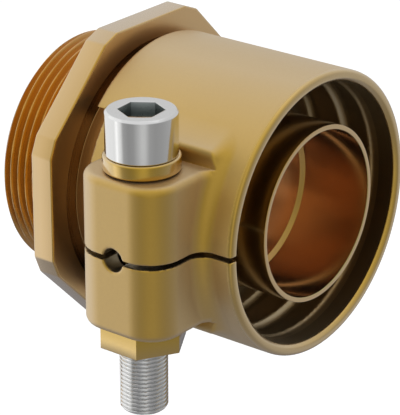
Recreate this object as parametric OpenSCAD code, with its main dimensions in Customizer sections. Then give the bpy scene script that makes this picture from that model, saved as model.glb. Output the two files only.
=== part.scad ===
// Clamp coupling that joins a plastic pressure pipe to a threaded port.
// X runs along the pipe towards the mouth, Z is up, and the clamp screw stands on the -Y side.
// The origin is on the pipe axis, where the thread meets the rear face of the wrench flange.

/* [Thread] */
// Major diameter of the G2 parallel pipe thread
thread_d = 59.614; // [56:0.002:61]
// Length of the thread from the flange to its free end
thread_len = 17.3; // [14:0.1:24]
// Chamfer on the free end of the thread
thread_chamfer = 1.5; // [0.6:0.1:2]
// Diameter of the waterway behind the support sleeve
waterway_d = 37.8; // [34:0.2:38.4]
// Depth of the chamfer at the waterway's threaded end
waterway_chamfer = 1; // [0.4:0.1:1.4]

/* [Seal] */
// Mean diameter of the sealing ring in the end face
ring_d = 50.2; // [49:0.1:50.6]
// Thickness of the sealing ring
ring_wire = 3; // [2.6:0.1:3.2]
// Height that the sealing ring stands proud of the end face
ring_proud = 0.7; // [0.4:0.05:1]
// Space between the sealing ring and each wall of its groove
ring_side_gap = 0.4; // [0.3:0.05:0.6]
// Space left under the sealing ring
ring_floor_gap = 0.05; // [0.02:0.01:0.2]

/* [Wrench flange] */
// Size across the eight long flats
flange_af = 75; // [73:0.5:80]
// Size across the trimmed corners
flange_corner = 79.2; // [78:0.1:79.8]
// Thickness of the flange
flange_t = 6.2; // [5:0.1:9]

/* [Neck that carries the clamp sleeve] */
// Diameter of the neck and of the shoulder behind its groove
neck_d = 58; // [57:0.5:59]
// Depth of the groove that the sleeve hooks into
hook_depth = 2.8; // [2:0.1:3.4]
// Distance from the flange to the groove
groove_start = 9; // [8.4:0.1:10]
// Width of the groove
groove_w = 5.5; // [4.5:0.1:6.5]
// Length of the shoulder between the groove and the pipe stop
shoulder_w = 4; // [3:0.1:5]
// Room between neck and sleeve, which lets the sleeve turn and close
neck_gap = 0.8; // [0.7:0.05:1]
// Room on each side of the hook in its groove
hook_side_gap = 0.4; // [0.3:0.05:0.6]

/* [Pipe and support sleeve] */
// Outer diameter of the pipe
pipe_d = 63; // [62:0.5:64]
// Inner diameter of the pipe
pipe_bore = 45.6; // [44.8:0.1:46.4]
// Room between the support sleeve and the pipe's bore
support_gap = 1.45; // [1.2:0.05:1.7]
// Wall of the support sleeve
support_wall = 1.15; // [1:0.05:1.6]
// Distance from the pipe stop to the end of the support sleeve
support_len = 31; // [28:0.5:34]
// Height of the sealing ridges on the support sleeve
ridge_h = 0.5; // [0.3:0.05:0.6]
// Radius of the sealing ridges in cross section
ridge_r = 1; // [0.8:0.1:1.4]
// Distance between the sealing ridges
ridge_pitch = 5; // [4:0.5:6]
// Number of sealing ridges
ridge_count = 3; // [2:1:3]
// Distance from the pipe stop to the first ridge
ridge_start = 4.5; // [4:0.5:6]
// Depth at which the bore narrows to the waterway, from the end of the support sleeve
ledge_depth = 18.4; // [14:0.2:20]
// Length of the narrowing, which is close to a flat step
ledge_run = 0.7; // [0.4:0.1:1.4]
// Chamfer on the support sleeve's outer edge
support_chamfer = 0.3; // [0.2:0.05:0.5]

/* [Clamp sleeve] */
// How far the grip ribs stand inside the pipe's surface while the sleeve is not spread for it
grip_bite = 0.5; // [0.3:0.05:0.8]
// Depth of the grooves between the grip ribs
grip_depth = 1.4; // [1:0.05:1.8]
// Wall of the sleeve outside the grip grooves
sleeve_wall = 2; // [1.6:0.1:3]
// Distance from the flange to the sleeve's rear edge
rear_gap = 3.6; // [3:0.1:4.4]
// Distance from the flange to the sleeve's mouth
mouth_at = 50; // [49:0.5:54]
// Room between the pipe and the entry in front of the first grip rib
entry_gap = 0.05; // [0.02:0.01:0.2]
// Chamfer on the mouth's inner edge
mouth_chamfer = 0.8; // [0.4:0.1:1]
// Radius on the mouth's outer edge
mouth_round = 1.2; // [0.6:0.1:1.6]
// Length of the entry, from the mouth to the first grip rib
entry_len = 7.6; // [6:0.2:9]
// Distance from the first grip rib to the second
rib_step_1 = 8; // [7:0.2:9]
// Distance from the second grip rib to the third
rib_step_2 = 9.6; // [8:0.2:10.4]
// Length of the scooped flank that leads up to a grip rib
rib_flank = 3; // [2:0.2:4]
// Width of a grip rib's crest
rib_crest = 0.3; // [0.2:0.1:0.8]
// Length of the steep back of a grip rib
rib_back = 0.9; // [0.5:0.1:1.2]
// Width of the slit between the jaws
slit_w = 1.2; // [1:0.1:1.6]
// Gap between the two half shells on the side away from the slit
back_gap = 0.2; // [0.16:0.02:0.3]
// How much further the rear edge is cut back beside the lug
notch_depth = 3.6; // [2:0.1:4]
// Half of the cut-back stretch's height
notch_half_h = 23.4; // [22.8:0.1:25]

/* [Lug] */
// Distance from the flange to the screw's axis
screw_at = 28.8; // [27:0.1:30]
// Distance from the sleeve's outer surface to the screw's axis
screw_offset = 5; // [4.8:0.1:6]
// Width of the lug along the pipe
lug_w = 25; // [22:0.5:26]
// Distance from the screw's axis to the lug's outer face
lug_reach = 10.7; // [9.6:0.1:12]
// Radius of the lug's upright corners
lug_corner = 8.2; // [6:0.1:9]
// Half of the lug's height, from the slit's middle to the screw's seat
lug_half_h = 18.7; // [17:0.1:19.5]
// Height of the wall beside the seat
seat_wall_h = 3.6; // [3:0.1:4]
// Radius on the rims of the lug
lug_round = 1.8; // [1:0.1:2.4]
// Radius of the hollow blend between lug and sleeve
lug_blend = 4; // [3:0.1:5]
// Diameter of the hole for the spreading tool
spreader_d = 5.6; // [4.6:0.1:6.4]
// Room around the screw in the lug
screw_room = 0.45; // [0.4:0.05:0.7]

/* [Clamp screw, washer and nut] */
// Thread diameter of the clamp screw
screw_d = 11.2; // [9.6:0.1:11.4]
// Diameter of the screw's head
head_d = 16.6; // [15:0.1:17]
// Height of the screw's head
head_h = 10.4; // [9.4:0.1:11.4]
// Length of the screw under its head
screw_len = 63; // [58:1:66]
// Width across the flats of the screw's hexagon socket
socket_af = 9.3; // [8:0.1:10]
// Depth of the screw's hexagon socket
socket_depth = 5.5; // [4:0.1:6.5]
// Direction of the socket's corners, in degrees
socket_turn = 35; // [0:1:59]
// Chamfer on the head's top edge
head_chamfer = 0.6; // [0.3:0.1:0.9]
// Chamfer at the screw's tip
tip_chamfer = 0.9; // [0.5:0.1:1.4]
// Outer diameter of the washer
washer_d = 17.8; // [17:0.1:18.2]
// Thickness of the washer
washer_t = 3.4; // [3:0.1:4]
// Room around the screw in the washer
washer_room = 0.25; // [0.2:0.05:0.4]
// Rounding of the washer's edges
washer_round = 0.5; // [0.2:0.1:0.8]
// Gap under the washer while the screw is not yet tightened
washer_lift = 0.3; // [0.25:0.05:0.5]
// Gap between the washer and the screw's head
head_lift = 0.05; // [0.02:0.01:0.1]
// Room between the washer and the wall beside its seat
washer_wall_gap = 0.45; // [0.4:0.05:0.7]
// Width across the flats of the nut
nut_af = 18.2; // [17.4:0.1:18.6]
// Thickness of the nut
nut_t = 5.2; // [4.5:0.1:6]
// Room around the screw in the nut
nut_room = 0.05; // [0.02:0.01:0.1]
// Room between the nut and the wall that keeps it from turning
nut_wall_gap = 0.25; // [0.15:0.05:0.4]

/* [Hidden] */

$fn = 96;
// Extra length that cutting shapes run past the faces they cut
over = 1;
// Depth by which touching shapes of one piece run into each other
sink = 0.05;
brass = [0.74, 0.62, 0.40];
brass_dark = [0.66, 0.53, 0.32];
steel = [0.78, 0.79, 0.80];
rubber_black = [0.09, 0.09, 0.10];

thread_r = thread_d / 2;
front = flange_t;
neck_r = neck_d / 2;
groove_r = neck_r - hook_depth;
groove_x = front + groove_start;
shoulder_x = groove_x + groove_w;
stop_x = shoulder_x + shoulder_w;

support_r = pipe_bore / 2 - support_gap;
support_bore_r = support_r - support_wall;
support_end = stop_x + support_len;
waterway_r = waterway_d / 2;
ledge_x = support_end - ledge_depth;

ring_groove_floor = -thread_len + ring_wire + ring_floor_gap - ring_proud;
ring_half_w = ring_wire / 2 + ring_side_gap;

grip_r = pipe_d / 2 - grip_bite;
entry_r = pipe_d / 2 + entry_gap;
chamber_r = grip_r + grip_depth;
sleeve_r = chamber_r + sleeve_wall;
rear_x = front + rear_gap;
mouth_x = front + mouth_at;
hook_x = groove_x + hook_side_gap;
hook_w = groove_w - 2 * hook_side_gap;
hook_r = groove_r + neck_gap;
lip_r = neck_r + neck_gap;
chamber_x = stop_x;
rib_1_x = mouth_x - entry_len;
rib_2_x = rib_1_x - rib_step_1;
rib_3_x = rib_2_x - rib_step_2;

screw_x = front + screw_at;
screw_y = -(sleeve_r + screw_offset);
screw_r = screw_d / 2;
lug_face_y = screw_y - lug_reach;
lug_x = screw_x - lug_w / 2;
lug_corner_y = lug_face_y + lug_corner;
lug_corner_dx = lug_w / 2 - lug_corner;
crown_h = lug_half_h + seat_wall_h;
screw_hole_r = screw_r + screw_room;
upper_seat_y = screw_y + washer_d / 2 + washer_wall_gap;
lower_seat_y = screw_y + nut_af / 2 + nut_wall_gap;

washer_z = lug_half_h + washer_lift;
head_z = washer_z + washer_t + head_lift;

// Turns a profile drawn as (x, radius) about the X axis
module turned() {
    rotate([90, 0, 90])
        rotate_extrude()
            rotate(90)
                mirror([0, 1])
                    children();
}

// Extrudes a profile drawn as (y, z) along X
module along_x(start, length) {
    translate([start, 0, 0])
        rotate([90, 0, 90])
            linear_extrude(length)
                children();
}

// Extrudes a profile drawn as (x, z) along Y
module along_y(start, length) {
    translate([0, start + length, 0])
        rotate([90, 0, 0])
            linear_extrude(length)
                children();
}

// Rectangle from its lowest corner and size, with all four corners rounded
module rounded_rect(low, size, r) {
    translate(low + [0, r])
        square([size[0], size[1] - 2 * r]);
    translate(low + [r, 0])
        square([size[0] - 2 * r, size[1]]);
    for (x = [low[0] + r, low[0] + size[0] - r])
        for (y = [low[1] + r, low[1] + size[1] - r])
            translate([x, y])
                circle(r, $fn = 48);
}

module flange_outline() {
    intersection() {
        rotate(22.5)
            circle(flange_af / 2 / cos(22.5), $fn = 8);
        circle(flange_corner / 2 / cos(22.5), $fn = 8);
    }
}

// Outer profile of the body without its flange
module body_profile() {
    polygon([
        [-thread_len, 0],
        [-thread_len, thread_r - thread_chamfer],
        [-thread_len + thread_chamfer, thread_r],
        [0, thread_r],
        [0, neck_r],
        [groove_x, neck_r],
        [groove_x, groove_r],
        [shoulder_x, groove_r],
        [shoulder_x, neck_r],
        [stop_x, neck_r],
        [stop_x, support_r],
        [support_end - support_chamfer, support_r],
        [support_end, support_r - support_chamfer],
        [support_end, 0],
    ]);
    for (i = [0 : ridge_count - 1])
        translate([stop_x + ridge_start + i * ridge_pitch, support_r + ridge_h - ridge_r])
            circle(ridge_r, $fn = 48);
}

// Waterway, from the threaded end through the ledge to the support sleeve's end
module waterway_profile() {
    polygon([
        [-thread_len - over, 0],
        [-thread_len - over, waterway_r + waterway_chamfer + over],
        [-thread_len + waterway_chamfer, waterway_r],
        [ledge_x - ledge_run, waterway_r],
        [ledge_x, support_bore_r],
        [support_end + over, support_bore_r],
        [support_end + over, 0],
    ]);
}

module ring_groove_profile() {
    translate([-thread_len - over, ring_d / 2 - ring_half_w])
        square([ring_groove_floor + thread_len + over, 2 * ring_half_w]);
}

module body() {
    color(brass_dark)
        difference() {
            union() {
                turned() body_profile();
                along_x(0, flange_t) flange_outline();
            }
            turned() waterway_profile();
            turned() ring_groove_profile();
        }
}

module sealing_ring() {
    ring_x = ring_groove_floor - ring_floor_gap - ring_wire / 2;
    color(rubber_black)
        turned()
            translate([ring_x, ring_d / 2])
                circle(ring_wire / 2, $fn = 48);
}

// Grip rib with a steep back and, on the mouth's side, a flank scooped down to floor_r
module grip_rib(x, floor_r) {
    flank_end = x + rib_crest + rib_flank;
    rise = floor_r - grip_r;
    scoop_r = (pow(rib_flank, 2) + pow(rise, 2)) / (2 * rise);
    difference() {
        polygon([
            [x - rib_back, chamber_r + sink],
            [x, grip_r],
            [flank_end, grip_r],
            [flank_end, floor_r + sink],
            [x, chamber_r + sink],
        ]);
        translate([flank_end, floor_r - scoop_r])
            circle(scoop_r);
    }
}

module sleeve_outline() {
    translate([rear_x, 0])
        square([mouth_x - mouth_round - rear_x, sleeve_r]);
    translate([rear_x, 0])
        square([mouth_x - rear_x, sleeve_r - mouth_round]);
    translate([mouth_x - mouth_round, sleeve_r - mouth_round])
        circle(mouth_round, $fn = 48);
}

// Everything inside the sleeve: lip, hook and pipe chamber with its ribs
module sleeve_hollow() {
    difference() {
        union() {
            square([hook_x, lip_r]);
            translate([hook_x - over, 0])
                square([hook_w + 2 * over, hook_r]);
            translate([hook_x + hook_w, 0])
                square([chamber_x - hook_x - hook_w + sink, lip_r]);
            translate([chamber_x, 0])
                square([rib_1_x - chamber_x, chamber_r]);
            polygon([
                [rib_1_x - sink, 0],
                [rib_1_x - sink, entry_r],
                [mouth_x - mouth_chamfer, entry_r],
                [mouth_x + over, entry_r + mouth_chamfer + over],
                [mouth_x + over, 0],
            ]);
        }
        grip_rib(rib_1_x, entry_r);
        grip_rib(rib_2_x, chamber_r);
        grip_rib(rib_3_x, chamber_r);
    }
}

// Lug between the two seats, with rounded rims and upright corners
module lug_post() {
    for (side = [-1, 1])
        translate([screw_x + side * lug_corner_dx, lug_corner_y, 0])
            rotate_extrude()
                intersection() {
                    rounded_rect(
                        [-lug_corner, -lug_half_h], [2 * lug_corner, 2 * lug_half_h], lug_round
                    );
                    translate([0, -lug_half_h])
                        square([lug_corner, 2 * lug_half_h]);
                }
    along_x(screw_x - lug_corner_dx, 2 * lug_corner_dx)
        rounded_rect([lug_face_y, -lug_half_h], [-lug_face_y, 2 * lug_half_h], lug_round);
    along_y(lug_corner_y, -lug_corner_y)
        rounded_rect([lug_x, -lug_half_h], [lug_w, 2 * lug_half_h], lug_round);
}

// Part of the lug behind its seats, up to the crown, and its blend into the sleeve
module lug_crown(seat_y) {
    ball_r = sleeve_r + lug_blend - sink;
    ball_z = crown_h + lug_blend - sink;
    ball_y = -sqrt(pow(ball_r, 2) - pow(ball_z, 2));
    end_y = ball_y * sleeve_r / ball_r;
    end_z = ball_z * sleeve_r / ball_r;
    along_y(seat_y, -seat_y)
        rounded_rect([lug_x, -crown_h], [lug_w, 2 * crown_h], lug_round);
    along_x(lug_x + lug_round, lug_w - 2 * lug_round)
        for (side = [-1, 1])
            difference() {
                translate([ball_y, side > 0 ? crown_h - over : -end_z])
                    square([end_y - ball_y, end_z - crown_h + over]);
                translate([ball_y, side * ball_z])
                    circle(lug_blend, $fn = 48);
            }
}

// Hollow blends along both sides of the lug, which follow the sleeve round
module lug_side_blends() {
    ball_dx = lug_w / 2 + lug_blend - sink;
    ball_r = sleeve_r + lug_blend - sink;
    intersection() {
        turned()
            for (side = [-1, 1])
                difference() {
                    translate([screw_x + side * ball_dx - (side > 0 ? lug_blend : 0), sleeve_r - over])
                        square([lug_blend, lug_blend + over - sink]);
                    translate([screw_x + side * ball_dx, ball_r])
                        circle(lug_blend, $fn = 48);
                }
        translate([rear_x, -ball_r - over, -crown_h + lug_round])
            cube([mouth_x - rear_x, ball_r, 2 * (crown_h - lug_round)]);
    }
}

// Sleeve and lug before the slit divides them into two jaws
module clamp_ring(seat_y) {
    difference() {
        union() {
            turned() sleeve_outline();
            lug_post();
            lug_crown(seat_y);
            lug_side_blends();
        }
        turned() sleeve_hollow();
        translate([rear_x - over, -sleeve_r - over, -notch_half_h])
            cube([notch_depth + over, sleeve_r / 2 + over, 2 * notch_half_h]);
        translate([screw_x, screw_y, -crown_h - over])
            cylinder(r = screw_hole_r, h = 2 * (crown_h + over));
        translate([screw_x, lug_face_y - over, 0])
            rotate([-90, 0, 0])
                cylinder(d = spreader_d, h = lug_reach + over, $fn = 48);
    }
}

// Half space under the slit and under the gap on the far side, as seen from the upper jaw
module other_half() {
    big = 2 * sleeve_r;
    translate([rear_x - over, -big, -big])
        cube([mouth_x - rear_x + 2 * over, big, big + slit_w / 2]);
    translate([rear_x - over, -sink, -big])
        cube([mouth_x - rear_x + 2 * over, big, big + back_gap / 2]);
}

module upper_jaw() {
    color(brass)
        difference() {
            clamp_ring(upper_seat_y);
            other_half();
        }
}

module lower_jaw() {
    color(brass)
        difference() {
            clamp_ring(lower_seat_y);
            mirror([0, 0, 1]) other_half();
        }
}

module clamp_washer() {
    color(brass)
        translate([screw_x, screw_y, washer_z])
            rotate_extrude()
                difference() {
                    rounded_rect([-washer_d / 2, 0], [washer_d, washer_t], washer_round);
                    translate([-washer_d, -over])
                        square([washer_d + screw_r + washer_room, washer_t + 2 * over]);
                }
}

// Half profile of the screw, as (radius, height) above the underside of its head
module screw_profile() {
    polygon([
        [0, -screw_len],
        [screw_r - tip_chamfer, -screw_len],
        [screw_r, -screw_len + tip_chamfer],
        [screw_r, 0],
        [head_d / 2, 0],
        [head_d / 2, head_h - head_chamfer],
        [head_d / 2 - head_chamfer, head_h],
        [0, head_h],
    ]);
}

module clamp_screw() {
    color(steel)
        translate([screw_x, screw_y, head_z])
            difference() {
                rotate_extrude() screw_profile();
                translate([0, 0, head_h - socket_depth])
                    rotate(socket_turn)
                        cylinder(d = socket_af / cos(30), h = socket_depth + over, $fn = 6);
            }
}

module clamp_nut() {
    color(brass)
        translate([screw_x, screw_y, -lug_half_h - nut_t])
            difference() {
                cylinder(d = nut_af / cos(30), h = nut_t, $fn = 6);
                translate([0, 0, -over])
                    cylinder(r = screw_r + nut_room, h = nut_t + 2 * over);
            }
}

body();
sealing_ring();
upper_jaw();
lower_jaw();
clamp_washer();
clamp_screw();
clamp_nut();
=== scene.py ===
import bpy
import math
import numpy as np
from mathutils import Matrix, Vector


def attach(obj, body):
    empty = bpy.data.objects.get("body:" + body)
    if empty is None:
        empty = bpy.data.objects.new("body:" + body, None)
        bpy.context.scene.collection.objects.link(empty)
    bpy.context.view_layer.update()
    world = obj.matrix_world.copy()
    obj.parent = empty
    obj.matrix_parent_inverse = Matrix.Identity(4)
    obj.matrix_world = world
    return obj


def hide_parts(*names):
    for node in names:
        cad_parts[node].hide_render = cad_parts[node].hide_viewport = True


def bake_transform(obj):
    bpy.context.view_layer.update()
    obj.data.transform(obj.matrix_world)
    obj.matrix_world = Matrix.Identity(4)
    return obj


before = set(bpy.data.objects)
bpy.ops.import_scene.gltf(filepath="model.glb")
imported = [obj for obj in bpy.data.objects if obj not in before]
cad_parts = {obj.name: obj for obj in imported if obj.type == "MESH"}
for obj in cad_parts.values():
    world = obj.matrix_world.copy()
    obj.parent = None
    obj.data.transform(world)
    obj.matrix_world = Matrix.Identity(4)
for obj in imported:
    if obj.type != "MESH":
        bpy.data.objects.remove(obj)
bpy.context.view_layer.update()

MM = 0.001

# Sizes, in millimetres
THREAD_R, THREAD_LEN, THREAD_PITCH, THREAD_DEPTH = 29.807, 17.3, 2.309, 1.42
THREAD_END_R = 28.2
SEAL_X, SEAL_R, SEAL_HALF_W = -16.5, 25.1, 1.5
SEAL_GROOVE_IN, SEAL_GROOVE_OUT, SEAL_GROOVE_DEPTH = 23.2, 27.0, 2.35
FLANGE_T, FLANGE_AF, FLANGE_CORNER, FLANGE_BEVEL = 6.2, 75.0, 79.2, 0.45
NECK_R, GROOVE_R = 29.0, 26.2
GROOVE_X, SHOULDER_X, STOP_X = 15.2, 20.7, 24.7
SUPPORT_R, SUPPORT_BORE_R, SUPPORT_END = 21.35, 20.2, 55.7
RIDGE_START, RIDGE_PITCH, RIDGE_RISE = 4.5, 5.0, 0.5
WATERWAY_R, LEDGE_X, LEDGE_RUN = 18.9, 37.3, 0.7

GRIP_R, ENTRY_R, CHAMBER_R, SLEEVE_R = 31.0, 31.55, 32.4, 34.4
REAR_X, MOUTH_X = 9.8, 56.2
LIP_R, HOOK_X, HOOK_END, HOOK_R = 29.8, 15.6, 20.3, 27.0
RIBS = (48.6, 40.6, 31.0)
RIB_BACK, RIB_CREST, RIB_FLANK = 0.9, 0.3, 3.0
MOUTH_CHAMFER = 0.8
SLIT, TOOL_HOLE_R = 0.6, 2.8
NOTCH_X, NOTCH_Y, NOTCH_Z = 13.4, -10.0, 23.4

SCREW_X, SCREW_Y = 35.0, -39.4
LUG_HALF_W, LUG_FACE_Y, LUG_CORNER = 12.5, -50.1, 8.2
LUG_H, CROWN_H, LUG_RIM, CROWN_RIM, LUG_BLEND = 18.7, 22.3, 1.8, 1.3, 4.0
SCREW_HOLE_R = 6.05
SEAT_Y, SEAT_CUT_Z = -30.05, 40.0
SCREW_R, SCREW_PITCH, SCREW_THREAD_DEPTH, SCREW_THREAD_TOP = 5.6, 1.0, 0.5, -16.0
HEAD_R, HEAD_H, HEAD_Z, HEAD_CHAMFER, TIP_Z = 8.3, 10.4, 22.45, 0.55, -40.55
SOCKET_AF, SOCKET_DEPTH, SOCKET_TURN, SOCKET_RIM_R = 9.3, 5.5, 35.0, 6.4
WASHER_R, WASHER_Z, WASHER_T = 8.9, 19.0, 3.4
NUT_AF, NUT_T = 18.2, 5.2

# Where one finish, painted shade or painted highlight changes to another, in millimetres
FACE_SHADE_R, MILLED_R = 32.5, 36.5
BORE_END_X = 52.0
RIM_LEN = 1.2
# width of the painted highlight behind each rib's crest
RIB_HIGHLIGHT = (2.4, 1.8, 1.8)
SLIT_SIDE_Y = -18.0


# Mesh helpers
def add_mesh(name, verts, faces, smooth_angle=None):
    mesh = bpy.data.meshes.new(name)
    mesh.from_pydata([tuple(v) for v in np.asarray(verts) * MM], [], faces)
    mesh.validate()
    mesh.update()
    obj = bpy.data.objects.new(name, mesh)
    bpy.context.scene.collection.objects.link(obj)
    mesh.polygons.foreach_set("use_smooth", [True] * len(mesh.polygons))
    if smooth_angle is not None:
        mesh.set_sharp_from_angle(angle=math.radians(smooth_angle))
    return obj


def loft(rings, closed_rows=False, caps=(False, False)):
    """Quads between rings of equal point count. Each ring closes on itself."""
    n = len(rings[0])
    verts = np.concatenate(rings)
    faces = []
    rows = len(rings)
    for i in range(rows if closed_rows else rows - 1):
        a, b = i * n, ((i + 1) % rows) * n
        for j in range(n):
            k = (j + 1) % n
            faces.append((a + j, b + j, b + k, a + k))
    if caps[0]:
        faces.append(tuple(range(n)))
    if caps[1]:
        faces.append(tuple(reversed(range((rows - 1) * n, rows * n))))
    return verts, faces


def arc(cx, cy, r, a0, a1, n):
    t = np.radians(np.linspace(a0, a1, n))
    return list(zip(cx + r * np.cos(t), cy + r * np.sin(t)))


def soften(points, r, steps=3):
    """Polyline with its corners rounded: r is one radius or one for each point (0 keeps it sharp)."""
    out = []
    n = len(points)
    radii = [r] * n if np.isscalar(r) else list(r)
    for i, p in enumerate(points):
        if i in (0, n - 1) or radii[i] == 0:
            out.append(tuple(p))
            continue
        p = np.array(p, float)
        u = np.array(points[i - 1], float) - p
        v = np.array(points[i + 1], float) - p
        lu, lv = np.linalg.norm(u), np.linalg.norm(v)
        u, v = u / lu, v / lv
        c = np.clip(u @ v, -1, 1)
        half = math.acos(c) / 2
        if half > math.radians(88):
            out.append(tuple(p))
            continue
        d = min(radii[i] / math.tan(half), 0.45 * lu, 0.45 * lv)
        for t in np.linspace(0, 1, steps + 1):
            q = p + u * d * (1 - t) ** 2 + v * d * t**2
            out.append(tuple(q))
    return out


def polar_outline(angle, apothem, sides, turn=0.0):
    """Radius of a regular polygon at each angle, in radians.
    turn is the direction of one flat's normal, in degrees."""
    step = 2 * math.pi / sides
    d = (angle - math.radians(turn) + step / 2) % step - step / 2
    return apothem / np.cos(d)


def thread_depth(phase, depth, crest, root):
    """Depth below the crest of a rounded V thread. phase counts turns.
    crest and root are the shares of the pitch that stay flat."""
    w = np.abs((phase % 1.0) - 0.5) * 2
    t = np.clip((w - crest) / (1 - crest - root), 0, 1)
    return depth * t * t * (3 - 2 * t) * 0.5 + depth * t * 0.5


def about_x(angle, x, r):
    """Ring of points round the pipe's axis."""
    r = np.broadcast_to(r, angle.shape)
    x = np.broadcast_to(x, angle.shape)
    return np.stack([x, r * np.cos(angle), r * np.sin(angle)], axis=1)


def about_screw(angle, z, r):
    """Ring of points round the screw's axis."""
    r = np.broadcast_to(r, angle.shape)
    z = np.broadcast_to(z, angle.shape)
    return np.stack([SCREW_X + r * np.cos(angle), SCREW_Y + r * np.sin(angle), z], axis=1)


# Body: thread, flange, neck and support sleeve
def build_body():
    # lo becomes the angle from a flat's middle to the corner that it shares with the next, shorter flat
    lo, hi = 0.0, 22.5
    for _ in range(40):
        mid = (lo + hi) / 2
        on_flat = FLANGE_AF / math.cos(math.radians(mid))
        on_corner = FLANGE_CORNER / math.cos(math.radians(22.5 - mid))
        lo, hi = (mid, hi) if on_flat < on_corner else (lo, mid)
    # points crowd round each corner of the flange, so that its bevel stays narrow
    corners = [(45 * k + s * lo) % 360 for k in range(8) for s in (-1, 1)]
    marks = [(c + d) % 360 for c in corners for d in (-0.6, -0.3, 0, 0.3, 0.6)]
    even = [a for a in np.arange(0, 360, 1.25) if min(abs((a - m + 180) % 360 - 180) for m in marks) > 0.2]
    degrees = np.sort(np.array(marks + even))
    angle = np.radians(degrees)
    flange = np.minimum(
        polar_outline(angle, FLANGE_AF / 2, 8), polar_outline(angle, FLANGE_CORNER / 2, 8, 22.5)
    )
    flange = flange - 0.04 * np.isin(degrees, corners)

    rings = []

    def rows(points):
        for x, r in points:
            rings.append(about_x(angle, x, r))

    # end face, with the sealing ring's groove
    end = -THREAD_LEN
    groove_x = end + SEAL_GROOVE_DEPTH
    rows(soften([
        (end + 3, WATERWAY_R), (end + 1, WATERWAY_R), (end, WATERWAY_R + 1), (end, SEAL_GROOVE_IN),
        (groove_x, SEAL_GROOVE_IN), (groove_x, SEAL_GROOVE_OUT), (end, SEAL_GROOVE_OUT),
        (end, THREAD_END_R),
    ], [0, 0.2, 0.2, 0.15, 0.3, 0.3, 0.15, 0], 6))
    # thread, chamfered at its end and running out beside the flange
    root = THREAD_R - THREAD_DEPTH
    steps = 18
    count = int((THREAD_LEN - 0.8) / THREAD_PITCH * steps)
    for i in range(count + 1):
        x = end + 0.05 + (THREAD_LEN - 0.85) * i / count
        r = THREAD_R - thread_depth(x / THREAD_PITCH - angle / (2 * math.pi), THREAD_DEPTH, 0.07, 0.10)
        fade = np.clip((-0.8 - x) / 1.2, 0, 1)
        r = np.minimum(THREAD_END_R + (x - end) * 1.05, r * fade + root * (1 - fade))
        rings.append(about_x(angle, x, r))
    rows([(-0.3, root), (0.0, THREAD_R - 1.1)])
    # flange, with a bevel of several rows on both edges
    c = FLANGE_BEVEL
    bevel = [(c - c * math.cos(t), c - c * math.sin(t)) for t in np.radians(np.linspace(0, 90, 7))]
    front = [(FLANGE_T - x, inset) for x, inset in reversed(bevel)]
    for x, inset in [(0, 2 * c)] + bevel + front + [(FLANGE_T, 2 * c)]:
        rings.append(about_x(angle, x, flange - inset))
    # rings on the flange's face where its painted shade ends
    rows([(FLANGE_T, FACE_SHADE_R + 1.5), (FLANGE_T, FACE_SHADE_R)])
    # neck with its groove, then the support sleeve with three low ridges, and its bore
    rows(soften([
        (FLANGE_T, NECK_R + 2), (FLANGE_T, NECK_R), (GROOVE_X, NECK_R), (GROOVE_X, GROOVE_R),
        (SHOULDER_X, GROOVE_R), (SHOULDER_X, NECK_R), (STOP_X, NECK_R), (STOP_X, SUPPORT_R),
        (STOP_X + 1, SUPPORT_R),
    ], [0, 0.3, 0.25, 0.3, 0.3, 0.25, 0.4, 0.3, 0], 6))
    for k in range(3):
        rows(arc(STOP_X + RIDGE_START + RIDGE_PITCH * k, SUPPORT_R + RIDGE_RISE - 1, 1, 150, 30, 7))
    rows(soften([
        (SUPPORT_END - 3, SUPPORT_R), (SUPPORT_END, SUPPORT_R), (SUPPORT_END, SUPPORT_BORE_R),
        (LEDGE_X, SUPPORT_BORE_R), (LEDGE_X - LEDGE_RUN, WATERWAY_R), (LEDGE_X - 4, WATERWAY_R),
    ], [0, 0.14, 0.14, 0.1, 0.1, 0], 6))
    return add_mesh("coupling_body", *loft(rings, closed_rows=True), smooth_angle=19)


def build_ring():
    angle = np.radians(np.arange(0, 360, 2.5))
    w = SEAL_HALF_W
    section = np.radians(np.arange(0, 360, 15))
    rings = [about_x(angle, SEAL_X + w * math.cos(t), SEAL_R + w * math.sin(t)) for t in section]
    return add_mesh("sealing_ring_soft", *loft(rings[::-1], closed_rows=True))


# Screw, washer and nut
def build_screw():
    n = 96
    angle = np.radians(SOCKET_TURN + np.arange(n) * 360 / n)
    hexagon = polar_outline(angle, SOCKET_AF / 2, 6, 30 + SOCKET_TURN)
    root = SCREW_R - SCREW_THREAD_DEPTH
    tip = ((TIP_Z, 0.6), (TIP_Z, root - 0.5), (TIP_Z + 0.1, root - 0.15))
    rings = [about_screw(angle, z, r) for z, r in tip]
    # thread, chamfered at the tip and running out below the head
    steps = 12
    start = TIP_Z + 0.2
    run = SCREW_THREAD_TOP - start
    count = int(run / SCREW_PITCH * steps)
    for i in range(count + 1):
        z = start + run * i / count
        r = SCREW_R - thread_depth(z / SCREW_PITCH - angle / (2 * math.pi), SCREW_THREAD_DEPTH, 0.45, 0.06)
        r = np.minimum(r, root + (z - start) * 0.9)
        fade = np.clip((SCREW_THREAD_TOP - 0.3 - z) / 1.5, 0, 1)
        r = r * fade + SCREW_R * (1 - fade)
        rings.append(about_screw(angle, z, r))
    # shank and head, then the socket's rounded edge, walls and floor
    top = HEAD_Z + HEAD_H
    for z, r in soften([
        (SCREW_THREAD_TOP + 0.5, SCREW_R), (HEAD_Z, SCREW_R), (HEAD_Z, HEAD_R),
        (top - HEAD_CHAMFER, HEAD_R), (top, HEAD_R - HEAD_CHAMFER), (top, SOCKET_RIM_R),
    ], [0, 0.2, 0.35, 0.3, 0.3, 0], 4):
        rings.append(about_screw(angle, z, r))
    for depth, inset in ((0, 0.16), (0.05, 0.05), (0.16, 0), (SOCKET_DEPTH - 0.2, 0), (SOCKET_DEPTH, -0.3)):
        rings.append(about_screw(angle, top - depth, hexagon + inset))
    rings.append(about_screw(angle, top - SOCKET_DEPTH - 1.0, 0.5))
    return add_mesh("screw_body", *loft(rings[::-1], caps=(True, True)), smooth_angle=35)


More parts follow.
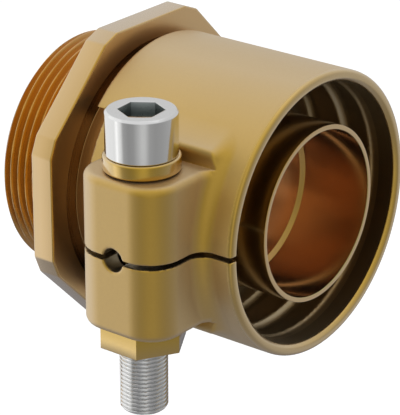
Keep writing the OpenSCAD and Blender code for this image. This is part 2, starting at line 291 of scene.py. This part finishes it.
def build_washer():
    angle = np.radians(np.arange(0, 360, 3))
    z, t, r0, r1 = WASHER_Z, WASHER_T, SCREW_R + 0.25, WASHER_R
    profile = soften([
        (z + 0.6, r0), (z + t, r0), (z + t, r1), (z, r1), (z, r0), (z + 0.6, r0),
    ], [0, 0.2, 0.55, 0.55, 0.2, 0], 5)[:-1]
    rings = [about_screw(angle, a, b) for a, b in profile]
    return add_mesh("washer_body", *loft(rings, closed_rows=True), smooth_angle=40)


def build_nut():
    n = 144
    angle = np.radians(np.arange(n) * 360 / n)
    hexagon = polar_outline(angle, NUT_AF / 2, 6, 90) - 0.02
    hole = SCREW_R + 0.05
    z1, z0 = -LUG_H, -LUG_H - NUT_T
    edge = ((0.0, 0.22), (0.07, 0.07), (0.22, 0.0))
    rings = [about_screw(angle, z0 + 0.5, hole), about_screw(angle, z0, hole + 0.5)]
    rings += [about_screw(angle, z0 + s, hexagon - inset) for s, inset in edge]
    rings += [about_screw(angle, z1 - s, hexagon - inset) for s, inset in reversed(edge)]
    rings += [about_screw(angle, z1, hole + 0.5), about_screw(angle, z1 - 0.5, hole)]
    return add_mesh("nut_body", *loft(rings[::-1], closed_rows=True), smooth_angle=30)


# Clamp sleeve as a field of distances
def polygon_distance(points, x, y):
    """Signed distance from (x, y) to a closed polygon, negative inside."""
    best = np.full(x.shape, 1e9)
    inside = np.zeros(x.shape, bool)
    n = len(points)
    for i in range(n):
        (ax, ay), (bx, by) = points[i], points[(i + 1) % n]
        ex, ey = bx - ax, by - ay
        t = np.clip(((x - ax) * ex + (y - ay) * ey) / (ex * ex + ey * ey + 1e-12), 0, 1)
        best = np.minimum(best, (x - ax - t * ex) ** 2 + (y - ay - t * ey) ** 2)
        if ay != by:
            crosses = (ay > y) != (by > y)
            inside ^= crosses & (x < (bx - ax) * (y - ay) / (by - ay) + ax)
    return np.where(inside, -1, 1) * np.sqrt(best)


class ProfileField:
    """Distance to a profile in (x, radius), kept on a fine grid and read back between its points."""

    x_range, r_range = (5.0, 62.0), (10.0, 58.0)
    step = 0.06

    def __init__(self, points):
        xs = np.arange(*self.x_range, self.step)
        rs = np.arange(*self.r_range, self.step)
        self.table = polygon_distance(points, *np.meshgrid(xs, rs, indexing="ij"))

    def __call__(self, x, r):
        u = np.clip((x - self.x_range[0]) / self.step, 0, self.table.shape[0] - 1.001)
        v = np.clip((r - self.r_range[0]) / self.step, 0, self.table.shape[1] - 1.001)
        i, j = u.astype(int), v.astype(int)
        fu, fv = u - i, v - j
        t = self.table
        return (
            t[i, j] * (1 - fu) * (1 - fv) + t[i + 1, j] * fu * (1 - fv)
            + t[i, j + 1] * (1 - fu) * fv + t[i + 1, j + 1] * fu * fv
        )


def round_union(a, b, r):
    """a and b as one, the corner between them filled with radius r."""
    return np.maximum(r, np.minimum(a, b)) - np.hypot(np.maximum(r - a, 0), np.maximum(r - b, 0))


def round_cut(a, b, r):
    """a without b, its edge rounded with radius r."""
    return np.minimum(-r, np.maximum(a, -b)) + np.hypot(np.maximum(r + a, 0), np.maximum(r - b, 0))


def round_both(a, b, r):
    """What lies inside both a and b, its edge rounded with radius r."""
    u, v = a + r, b + r
    return np.minimum(np.maximum(u, v), 0) + np.hypot(np.maximum(u, 0), np.maximum(v, 0)) - r


def rib_profile(x, floor_r, scoop):
    """Grip rib: steep back, narrow crest, and a flank on the mouth's side that falls to floor_r.
    The higher scoop is, the more hollow the flank."""
    flank = [
        (x + RIB_CREST + RIB_FLANK * t, floor_r - (floor_r - GRIP_R) * (1 - t) ** scoop)
        for t in np.linspace(0, 1, 14) ** 1.4
    ]
    return [(x - RIB_BACK, CHAMBER_R), (x, GRIP_R)] + flank


def sleeve_fields():
    """Fields of the sleeve as a full bar, and of the hollow inside it."""
    # both profiles are closed at this radius, well inside the hollow
    inner, outer = 5, 20
    solid = [(REAR_X, inner)] + soften([
        (REAR_X, outer), (REAR_X, SLEEVE_R), (MOUTH_X, SLEEVE_R), (MOUTH_X, outer),
    ], [0, 0.45, 1.25, 0], 6) + [(MOUTH_X, inner)]
    # the hollow begins and ends outside the sleeve
    start, end = 5.5, MOUTH_X + 3
    rear = [
        (start, outer), (start, LIP_R + 1), (REAR_X - 0.9, LIP_R + 1), (REAR_X + 0.3, LIP_R),
        (HOOK_X, LIP_R), (HOOK_X, HOOK_R), (HOOK_END, HOOK_R), (HOOK_END, LIP_R),
        (STOP_X, LIP_R), (STOP_X, CHAMBER_R),
    ]
    ribs = rib_profile(RIBS[2], CHAMBER_R, scoop=2.6) + rib_profile(RIBS[1], CHAMBER_R, scoop=2.6)
    ribs += rib_profile(RIBS[0], ENTRY_R, scoop=6.0)
    mouth_r = ENTRY_R + MOUTH_CHAMFER
    mouth = [(MOUTH_X - MOUTH_CHAMFER, ENTRY_R), (MOUTH_X, mouth_r), (end, mouth_r + 3), (end, outer)]
    hollow = [(start, inner)] + soften(rear + ribs + mouth, 0.14, 3) + [(end, inner)]
    return ProfileField(solid), ProfileField(hollow)


SOLID, HOLLOW = sleeve_fields()


def sleeve_distance(p):
    """Distance from each point to the clamp sleeve's surface, negative inside."""
    x, y, z = p[..., 0], p[..., 1], p[..., 2]
    r = np.hypot(y, z)
    az = np.abs(z)
    ring = SOLID(x, r)
    # the lug's post, with its corners rounded on the face side only
    across = np.abs(x - SCREW_X) - LUG_HALF_W
    plan = round_both(across, np.abs(y - LUG_FACE_Y / 2) + LUG_FACE_Y / 2, LUG_CORNER)
    plan = np.where(y > LUG_FACE_Y / 2, np.maximum(across, y), plan)
    post = round_both(plan, az - LUG_H, LUG_RIM)
    # the crown is the lug's higher part between the screw's seat and the shell
    crown_plan = np.maximum(across, np.maximum(SEAT_Y - y, y))
    crown = round_both(crown_plan, az - CROWN_H, CROWN_RIM)
    d = round_union(ring, np.minimum(post, crown), LUG_BLEND)
    # the seats are cut into the lug after the blend, square to the screw
    seat_cut = np.maximum(np.maximum(y - SEAT_Y, LUG_H - az), az - SEAT_CUT_Z)
    d = round_cut(d, seat_cut, 0.1 + 0.8 * np.clip((az - LUG_H) / (CROWN_H - LUG_H), 0, 1))
    d = round_cut(d, HOLLOW(x, r), 0.15)
    notch = np.maximum(np.maximum(x - NOTCH_X, az - NOTCH_Z), y - NOTCH_Y)
    screw_hole = np.hypot(x - SCREW_X, y - SCREW_Y) - SCREW_HOLE_R
    tool_hole = np.maximum(np.hypot(x - SCREW_X, z) - TOOL_HOLE_R, y - SCREW_Y)
    for hole in (notch, screw_hole, tool_hole):
        d = round_cut(d, hole, 0.3)
    return round_cut(d, np.maximum(az - SLIT, y), 0.22)


def slope(field, points, reach=0.03):
    """Direction in which the field grows fastest, at each point."""
    shifts = np.eye(3) * reach
    return np.stack([field(points + d) - field(points - d) for d in shifts], axis=1) / (2 * reach)


def contour(field, low, high, step):
    """Closed quad surface of a distance field that keeps its edges, by dual contouring."""
    shape = [int(round((b - a) / step)) + 1 for a, b in zip(low, high)]
    axes = [a + step * np.arange(n) for a, n in zip(low, shape)]
    value = np.empty(shape, np.float32)
    for i, x in enumerate(axes[0]):
        grid = np.stack(np.meshgrid([x], axes[1], axes[2], indexing="ij"), axis=-1)
        value[i] = field(grid)[0]
    solid = value < 0
    count = np.zeros([n - 1 for n in shape], np.int8)
    for i in (0, 1):
        for j in (0, 1):
            for k in (0, 1):
                count += solid[i : shape[0] - 1 + i, j : shape[1] - 1 + j, k : shape[2] - 1 + k]
    cells = np.argwhere((count > 0) & (count < 8))
    index = np.full(count.shape, -1, np.int64)
    index[tuple(cells.T)] = np.arange(len(cells))
    hits, middle = np.zeros(len(cells)), np.zeros((len(cells), 3))
    planes, offsets = np.zeros((len(cells), 3, 3)), np.zeros((len(cells), 3))
    faces = []
    for axis in range(3):
        u, v = [(1, 2), (2, 0), (0, 1)][axis]
        ahead = [slice(None)] * 3
        behind = [slice(None)] * 3
        ahead[axis], behind[axis] = slice(1, None), slice(None, -1)
        first = solid[tuple(behind)]
        edge = np.argwhere(first != solid[tuple(ahead)])
        edge = edge[(edge[:, u] > 0) & (edge[:, v] > 0)]
        flip = first[tuple(edge.T)]
        start = value[tuple(edge.T)].astype(float)
        edge_end = edge.copy()
        edge_end[:, axis] += 1
        crossing = edge.astype(float)
        crossing[:, axis] += start / (start - value[tuple(edge_end.T)])
        crossing = np.array(low) + step * crossing
        normal = slope(field, crossing)
        normal /= np.maximum(np.linalg.norm(normal, axis=1, keepdims=True), 1e-6)
        outer = normal[:, :, None] * normal[:, None, :]
        offset = normal * (normal * crossing).sum(axis=1, keepdims=True)
        quad = []
        for du, dv in ((1, 1), (0, 1), (0, 0), (1, 0)):
            cell = edge.copy()
            cell[:, u] -= du
            cell[:, v] -= dv
            at = index[tuple(cell.T)]
            np.add.at(hits, at, 1)
            np.add.at(middle, at, crossing)
            np.add.at(planes, at, outer)
            np.add.at(offsets, at, offset)
            quad.append(at)
        quad = np.stack(quad, axis=1)
        quad[~flip] = quad[~flip][:, ::-1]
        faces.append(quad)
    middle /= hits[:, None]
    # a weak pull to the cell's middle settles the directions in which its planes leave a point free
    pull = 0.08 * hits
    planes += pull[:, None, None] * np.eye(3)
    verts = np.linalg.solve(planes, (offsets + pull[:, None] * middle)[:, :, None])[:, :, 0]
    return middle + np.clip(verts - middle, -0.6 * step, 0.6 * step), np.concatenate(faces)


def settle(field, verts, rounds=3, reach=0.12):
    """Moves each point on to the field's surface."""
    for _ in range(rounds):
        rise = slope(field, verts)
        steepness = np.maximum((rise * rise).sum(axis=1), 0.25)
        move = -(field(verts) / steepness)[:, None] * rise
        length = np.linalg.norm(move, axis=1, keepdims=True)
        verts = verts + move * np.minimum(1, reach / np.maximum(length, 1e-9))
    return verts


def build_sleeve():
    step = 0.4
    # half the grid's width, a little more than the sleeve's radius
    side = 35.6
    # the grid's planes lie at equal distances on both sides of the slit's faces
    top = SLIT + step / 2 + step * round((side - SLIT) / step)
    low = (REAR_X - 0.9, LUG_FACE_Y - 0.7, -top)
    verts, faces = contour(sleeve_distance, low, (MOUTH_X + 0.8, side, top), step)
    verts = settle(sleeve_distance, verts)
    return add_mesh("clamp_sleeve", verts, faces.tolist(), smooth_angle=48)


body = build_body()
ring = build_ring()
sleeve = build_sleeve()
screw = build_screw()
washer = build_washer()
nut = build_nut()

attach(body, "coupling")
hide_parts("body")
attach(ring, "coupling")
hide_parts("sealing_ring")
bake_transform(sleeve)
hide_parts("upper_jaw", "lower_jaw")
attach(screw, "screw")
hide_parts("clamp_screw")
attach(washer, "washer")
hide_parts("clamp_washer")
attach(nut, "lower_shell")
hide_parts("clamp_nut")


# Materials
def node(tree, kind, inputs=None, **settings):
    """New shader node. inputs maps a socket's name or number to a value, or to the output that feeds it."""
    made = tree.nodes.new("ShaderNode" + kind)
    for name, value in settings.items():
        setattr(made, name, value)
    for name, value in (inputs or {}).items():
        if isinstance(value, bpy.types.NodeSocket):
            tree.links.new(value, made.inputs[name])
        else:
            made.inputs[name].default_value = value
    return made


def number(tree, operation, *values):
    return node(tree, "Math", dict(enumerate(values)), operation=operation).outputs[0]


def ramp(tree, factor, stops):
    """Colour ramp from (position, grey level or colour) pairs."""
    made = node(tree, "ValToRGB", {"Fac": factor})
    elements = made.color_ramp.elements
    for k, (position, value) in enumerate(stops):
        element = elements[k] if k < 2 else elements.new(position)
        element.position = position
        element.color = (*((value,) * 3 if np.isscalar(value) else value), 1)
    return made.outputs["Color"]


def lathe_coordinates(tree, position):
    """Position as (place along X, distance from the X axis), which is the same all round a turned part."""
    split = node(tree, "SeparateXYZ", {"Vector": position})
    across = node(tree, "CombineXYZ", {"Y": split.outputs["Y"], "Z": split.outputs["Z"]})
    radius = node(tree, "VectorMath", {0: across.outputs["Vector"]}, operation="LENGTH").outputs["Value"]
    return node(tree, "CombineXYZ", {"X": split.outputs["X"], "Y": radius}).outputs["Vector"]


def metal(name, color, shade, roughness, grain, pale=0.0, turned=True):
    """Satin metal: color drifts towards shade in soft clouds, and lathe lines or a fine grain roughen it.
    pale gives brass the glossy, colourless skin that it shows at a slant."""
    material = bpy.data.materials.new(name)
    material.use_nodes = True
    tree = material.node_tree
    shader = tree.nodes["Principled BSDF"]
    shader.inputs["Metallic"].default_value = 1.0
    if pale > 0:
        slant = node(tree, "LayerWeight", {"Blend": 0.5}).outputs["Facing"]
        skin = node(tree, "MapRange", {"Value": slant, "From Min": 0.06, "From Max": 0.52, "To Max": pale})
        tree.links.new(skin.outputs["Result"], shader.inputs["Coat Weight"])
        shader.inputs["Coat Roughness"].default_value = roughness
        shader.inputs["Coat IOR"].default_value = 3.0
    position = node(tree, "TexCoord").outputs["Object"]
    clouds = node(tree, "TexNoise", {"Vector": position, "Scale": 45.0, "Detail": 3.0})
    mix = node(tree, "Mix", data_type="RGBA")
    mix.inputs["A"].default_value = (*color, 1)
    mix.inputs["B"].default_value = (*shade, 1)
    tree.links.new(clouds.outputs["Fac"], mix.inputs["Factor"])
    tree.links.new(mix.outputs["Result"], shader.inputs["Base Color"])
    marks = lathe_coordinates(tree, position) if turned else position
    fine = node(tree, "TexNoise", {"Vector": marks, "Scale": 6000.0 if turned else 1500.0, "Detail": 1.0})
    spread = 0.012 if turned else 0.03
    rough = node(tree, "MapRange", {
        "Value": fine.outputs["Fac"], "From Min": 0.3, "From Max": 0.7,
        "To Min": roughness - spread, "To Max": roughness + spread,
    })
    tree.links.new(rough.outputs["Result"], shader.inputs["Roughness"])
    bump = node(tree, "Bump", {"Height": fine.outputs["Fac"], "Strength": grain, "Distance": 0.00005})
    tree.links.new(bump.outputs["Normal"], shader.inputs["Normal"])
    return material


brass_cast = metal(
    "brass_cast", (0.60, 0.385, 0.075), (0.57, 0.355, 0.06), 0.48, 0.10, pale=1.0, turned=False
)
brass_turned = metal("brass_turned", (0.61, 0.36, 0.07), (0.58, 0.34, 0.055), 0.20, 0.01, pale=1.0)
brass_milled = metal("brass_milled", (0.56, 0.345, 0.085), (0.50, 0.31, 0.07), 0.26, 0.05, pale=1.2)
# lighter brass, painted light on the flange's face
brass_face_lit = metal("brass_face_lit", (0.76, 0.45, 0.11), (0.72, 0.42, 0.095), 0.38, 0.02, pale=1.0)
brass_thread = metal("brass_thread", (0.58, 0.29, 0.05), (0.54, 0.26, 0.04), 0.24, 0.01, pale=0.6)
# lighter, paler brass, painted light in the deep bore
brass_bore = metal("brass_bore", (0.65, 0.42, 0.23), (0.61, 0.39, 0.21), 0.16, 0.004, pale=0.8)
# paler gold, painted light at the end of the bore
brass_bore_end_lit = metal("brass_bore_end_lit", (0.66, 0.60, 0.24), (0.62, 0.56, 0.22), 0.20, 0.01, pale=0.4)
# darker brass, painted shade on the neck and the flange's face behind the sleeve
brass_neck_shade = metal("brass_neck_shade", (0.40, 0.23, 0.08), (0.34, 0.19, 0.06), 0.28, 0.02, pale=0.3)
brass_rim = metal("brass_rim", (0.60, 0.385, 0.08), (0.58, 0.365, 0.07), 0.25, 0.02, pale=1.0)
# darker brass, painted shade in the sleeve's hollow, slit and tool hole
brass_inside_shade = metal("brass_inside_shade", (0.34, 0.26, 0.13), (0.28, 0.21, 0.10), 0.32, 0.02, pale=0.8)
# paler brass, a painted highlight on the grip ribs
brass_rib_highlight = metal("brass_rib_highlight", (0.52, 0.41, 0.22), (0.46, 0.36, 0.19), 0.34, 0.02, pale=1.0)
brass_small = metal(
    "brass_small", (0.62, 0.395, 0.065), (0.59, 0.375, 0.055), 0.19, 0.04, pale=1.0, turned=False
)
steel = metal("stainless_satin", (0.76, 0.76, 0.75), (0.73, 0.73, 0.72), 0.12, 0.02, turned=False)
# darker steel, painted shade in the screw's socket
steel_socket_shade = metal("stainless_socket_shade", (0.42, 0.45, 0.44), (0.34, 0.37, 0.36), 0.30, 0.04, turned=False)

rubber = bpy.data.materials.new("rubber_black")
rubber.use_nodes = True
rubber_shader = rubber.node_tree.nodes["Principled BSDF"]
rubber_shader.inputs["Roughness"].default_value = 0.6
rubber_spots = node(rubber.node_tree, "TexNoise", {"Scale": 700.0, "Detail": 3.0})
rubber_color = ramp(rubber.node_tree, rubber_spots.outputs["Fac"], ((0.3, 0.012), (0.7, 0.024)))
rubber.node_tree.links.new(rubber_color, rubber_shader.inputs["Base Color"])

for obj, material in (
    (body, brass_turned), (ring, rubber), (sleeve, brass_cast),
    (screw, steel), (washer, brass_small), (nut, brass_small),
):
    obj.data.materials.clear()
    obj.data.materials.append(material)


def finish_and_shade_faces(obj, material, chosen):
    """Gives a second material to the chosen faces: a finish, painted shade, or painted light.
    chosen gets the x, y and z of their centres and the distance r from the pipe's axis, in millimetres."""
    polygons = obj.data.polygons
    centers = np.empty(3 * len(polygons))
    polygons.foreach_get("center", centers)
    x, y, z = centers.reshape(-1, 3).T / MM
    slots = np.empty(len(polygons), np.int32)
    polygons.foreach_get("material_index", slots)
    slots[chosen(x, y, z, np.hypot(y, z))] = len(obj.data.materials)
    obj.data.materials.append(material)
    polygons.foreach_set("material_index", slots)


# painted shade: the sleeve gets a darker brass inside, in its slit and in the tool's hole
finish_and_shade_faces(sleeve, brass_inside_shade, lambda x, y, z, r: (
    ((r < CHAMBER_R + 0.12) & (x > REAR_X + 0.2) & (x < MOUTH_X - MOUTH_CHAMFER - 0.1))
    | ((y < SLIT_SIDE_Y) & (np.abs(z) < SLIT + 0.02))
    | ((y > LUG_FACE_Y + 0.5) & (y < SLIT_SIDE_Y) & (np.hypot(x - SCREW_X, z) < TOOL_HOLE_R + 0.1))
))
# painted highlight: paler brass on the ribs' crests and flanks, set off against the painted shade inside
finish_and_shade_faces(sleeve, brass_rib_highlight, lambda x, y, z, r: (r < CHAMBER_R - 0.15) & np.any(
    [(x > rib - 0.2) & (x < rib + width) for rib, width in zip(RIBS, RIB_HIGHLIGHT)], axis=0
))
finish_and_shade_faces(sleeve, brass_rim, lambda x, y, z, r: (x > MOUTH_X - RIM_LEN) & (r < SLEEVE_R + 0.1))
# painted light: a lighter, paler brass lifts the deep bore on both sides of the ledge's slope, which keeps
# the body's finish
finish_and_shade_faces(body, brass_bore, lambda x, y, z, r: (r < SUPPORT_BORE_R + 0.1) & (
    (x < LEDGE_X - LEDGE_RUN - 0.1) | ((x > LEDGE_X + 0.05) & (x < BORE_END_X))
))
# painted shade: the neck and the flange's face round it get a darker brass behind the sleeve
finish_and_shade_faces(body, brass_neck_shade, lambda x, y, z, r: (
    (x > FLANGE_T - 0.02) & (x < STOP_X + 1) & (r < FACE_SHADE_R) & (r > SUPPORT_R + 0.2)
))
# painted light: a paler, yellower brass at the end of the bore, nearest the mouth
finish_and_shade_faces(body, brass_bore_end_lit, lambda x, y, z, r: (r < SUPPORT_BORE_R + 0.05) & (x >= BORE_END_X))
# painted light: a lighter brass brightens the flange's face outside its painted shade
finish_and_shade_faces(body, brass_face_lit, lambda x, y, z, r: (np.abs(x - FLANGE_T) < 0.02) & (r > FACE_SHADE_R))
finish_and_shade_faces(body, brass_milled, lambda x, y, z, r: (x > 0.3) & (x < FLANGE_T - 0.3) & (r > MILLED_R))
finish_and_shade_faces(body, brass_thread, lambda x, y, z, r: (x < -0.2) & (r > THREAD_END_R - 0.2))
# painted shade: the socket gets a darker, rougher steel
finish_and_shade_faces(screw, steel_socket_shade, lambda x, y, z, r: (
    (np.hypot(x - SCREW_X, y - SCREW_Y) < SOCKET_AF * 0.58) & (z > HEAD_Z) & (z < HEAD_Z + HEAD_H - 0.2)
))
finishes = {"body": brass_turned, "sealing_ring": rubber, "clamp_screw": steel}
for name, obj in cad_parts.items():
    obj.data.materials.clear()
    obj.data.materials.append(finishes.get(name, brass_cast))


# Camera, as fitted to the photo: angles in degrees, lengths in millimetres
CAMERA_TURN, CAMERA_RISE, CAMERA_DISTANCE = 38.03, 22.84, 582.6
AIM_RIGHT, AIM_DOWN = 11.33, 10.36
FOCAL_PX, PHOTO_WIDTH_PX, SENSOR_WIDTH = 2382.94, 400, 36

a, e = math.radians(CAMERA_TURN), math.radians(CAMERA_RISE)
right = Vector((math.cos(a), math.sin(a), 0))
back = Vector((math.sin(a) * math.cos(e), -math.cos(a) * math.cos(e), math.sin(e)))
up = back.cross(right)
target = Vector((FLANGE_T, 0, 0)) + right * AIM_RIGHT - up * AIM_DOWN
place = (target + back * CAMERA_DISTANCE) * MM
camera_data = bpy.data.cameras.new("camera")
camera_data.sensor_fit = "HORIZONTAL"
camera_data.sensor_width = SENSOR_WIDTH
camera_data.lens = SENSOR_WIDTH * FOCAL_PX / PHOTO_WIDTH_PX
camera_data.clip_start, camera_data.clip_end = 0.05, 20
camera = bpy.data.objects.new("camera", camera_data)
camera.matrix_world = Matrix((
    (right.x, up.x, back.x, place.x),
    (right.y, up.y, back.y, place.y),
    (right.z, up.z, back.z, place.z),
    (0, 0, 0, 1),
))
bpy.context.scene.collection.objects.link(camera)
bpy.context.scene.camera = camera


# Stage and light
def area(name, where, aim, size, radiance):
    """Square soft lamp. radiance is how bright its face looks, where 1 is white."""
    light = bpy.data.lights.new(name, "AREA")
    light.shape = "SQUARE"
    light.size = size
    light.energy = radiance * math.pi * size**2
    obj = bpy.data.objects.new(name, light)
    obj.location = where
    obj.rotation_euler = (Vector(where) - Vector(aim)).to_track_quat("Z", "Y").to_euler()
    bpy.context.scene.collection.objects.link(obj)


MIDDLE = (0.03, -0.01, 0.0)
area("key", (-1.1, -0.4, 0.9), MIDDLE, 0.9, 0.15)
area("fill", (0.3, 0.3, 1.6), MIDDLE, 1.0, 0.12)

FLOOR_Z, FLOOR_HALF = -0.12, 3
floor_corners = [(x * FLOOR_HALF, y * FLOOR_HALF, FLOOR_Z) for x, y in ((-1, -1), (1, -1), (1, 1), (-1, 1))]
floor_mesh = bpy.data.meshes.new("floor")
floor_mesh.from_pydata(floor_corners, [], [(0, 1, 2, 3)])
floor = bpy.data.objects.new("floor", floor_mesh)
bpy.context.scene.collection.objects.link(floor)


def floor_material():
    """Pale floor that renders white and keeps the shadow.
    Reflections pass through it and show the studio instead."""
    material = bpy.data.materials.new("floor_white")
    material.use_nodes = True
    tree = material.node_tree
    tree.nodes.clear()
    path = node(tree, "LightPath")
    pale = node(tree, "BsdfDiffuse", {"Color": (0.9, 0.9, 0.9, 1)})
    lift = node(tree, "Emission", {"Color": (1, 1, 1, 1), "Strength": 0.35})
    white = node(tree, "AddShader", {0: pale.outputs[0], 1: lift.outputs[0]})
    to_camera, to_metal = path.outputs["Is Camera Ray"], path.outputs["Is Glossy Ray"]
    seen = node(tree, "MixShader", {0: to_camera, 1: pale.outputs[0], 2: white.outputs[0]})
    clear = node(tree, "BsdfTransparent")
    look = node(tree, "MixShader", {0: to_metal, 1: seen.outputs[0], 2: clear.outputs[0]})
    node(tree, "OutputMaterial", {"Surface": look.outputs[0]})
    return material


floor_mesh.materials.append(floor_material())

# The studio round the object, by degrees of azimuth from +X and of elevation.
# Brightness at eye level: a wall behind and left of the camera's view, a bright strip at its edge,
# a dim room with one pale strip behind the camera, and more wall on the right
ROUND_LEVELS = (
    (-180, 0.92), (-148, 0.88), (-139, 1.12), (-134, 1.38), (-128, 1.08), (-118, 0.86), (-110, 0.42),
    (-92, 0.33), (-76, 0.36), (-60, 0.54), (-50, 0.66), (-40, 0.64), (-26, 0.40), (-8, 0.35),
    (15, 0.38), (45, 0.45), (70, 0.60), (90, 0.64), (138, 0.64), (156, 0.9), (180, 0.95),
)
CEILING, GROUND, BELOW = (0.88, 0.88, 0.89), (0.32, 0.32, 0.34), (0.22, 0.22, 0.24)
# Share of each in the light, by degrees of elevation
CEILING_SHARE = ((-90, 0.0), (-2, 0.0), (14, 0.3), (28, 0.4), (42, 0.6), (54, 0.95), (90, 1.0))
GROUND_SHARE = ((-90, 1.0), (-48, 1.0), (-27, 0.0), (90, 0.0))
BELOW_SHARE = ((-90, 0.0), (-70, 0.0), (-45, 1.0), (-22, 1.0), (0, 0.0))
# Share of the dim floor far behind the object, by degrees of azimuth
BELOW_SIDE = ((-180, 0.0), (70, 0.0), (95, 1.0), (138, 1.0), (158, 0.0), (180, 0.0))
# Where metal sees the white backdrop, by degrees of azimuth and of elevation
BACKDROP_SIDE = ((-180, 1.0), (-150, 1.0), (-143, 0.0), (150, 0.0), (165, 1.0), (180, 1.0))
BACKDROP_RISE = ((-90, 0.0), (-50, 0.0), (-30, 1.0), (25, 1.0), (45, 0.0), (90, 0.0))


world = bpy.data.worlds.new("studio")
bpy.context.scene.world = world
world.use_nodes = True
sky = world.node_tree
sky.nodes.clear()
direction = node(sky, "SeparateXYZ", {"Vector": node(sky, "TexCoord").outputs["Generated"]})
sky_turn = number(sky, "ARCTAN2", direction.outputs["Y"], direction.outputs["X"])
sky_turn = number(sky, "MULTIPLY_ADD", sky_turn, 0.5 / math.pi, 0.5)
sky_rise = number(sky, "MULTIPLY_ADD", number(sky, "ARCSINE", direction.outputs["Z"]), 1 / math.pi, 0.5)


def by_turn(stops):
    return ramp(sky, sky_turn, [(0.5 + degrees / 360, value) for degrees, value in stops])


def by_rise(stops):
    return ramp(sky, sky_rise, [(0.5 + degrees / 180, value) for degrees, value in stops])


level = by_turn(ROUND_LEVELS)
below_share = number(sky, "MULTIPLY", by_turn(BELOW_SIDE), by_rise(BELOW_SHARE))
for share, color in (
    (by_rise(CEILING_SHARE), CEILING), (by_rise(GROUND_SHARE), GROUND), (below_share, BELOW),
):
    mix = node(sky, "Mix", data_type="RGBA")
    sky.links.new(share, mix.inputs["Factor"])
    sky.links.new(level, mix.inputs["A"])
    mix.inputs["B"].default_value = (*color, 1)
    level = mix.outputs["Result"]

# White for the camera, through glass, and for metal where it faces the backdrop
path = node(sky, "LightPath")
backdrop = number(sky, "MULTIPLY", by_turn(BACKDROP_SIDE), by_rise(BACKDROP_RISE))
backdrop = number(sky, "MULTIPLY", backdrop, path.outputs["Is Glossy Ray"])
white = number(sky, "MAXIMUM", path.outputs["Is Camera Ray"], path.outputs["Is Transmission Ray"])
white = number(sky, "MAXIMUM", white, backdrop)
studio = node(sky, "Background", {"Color": level, "Strength": 1.0})
wall = node(sky, "Background", {"Color": (1, 1, 1, 1), "Strength": 1.0})
look = node(sky, "MixShader", {0: white, 1: studio.outputs[0], 2: wall.outputs[0]})
node(sky, "OutputWorld", {"Surface": look.outputs[0]})

bpy.context.scene.view_settings.view_transform = "Standard"
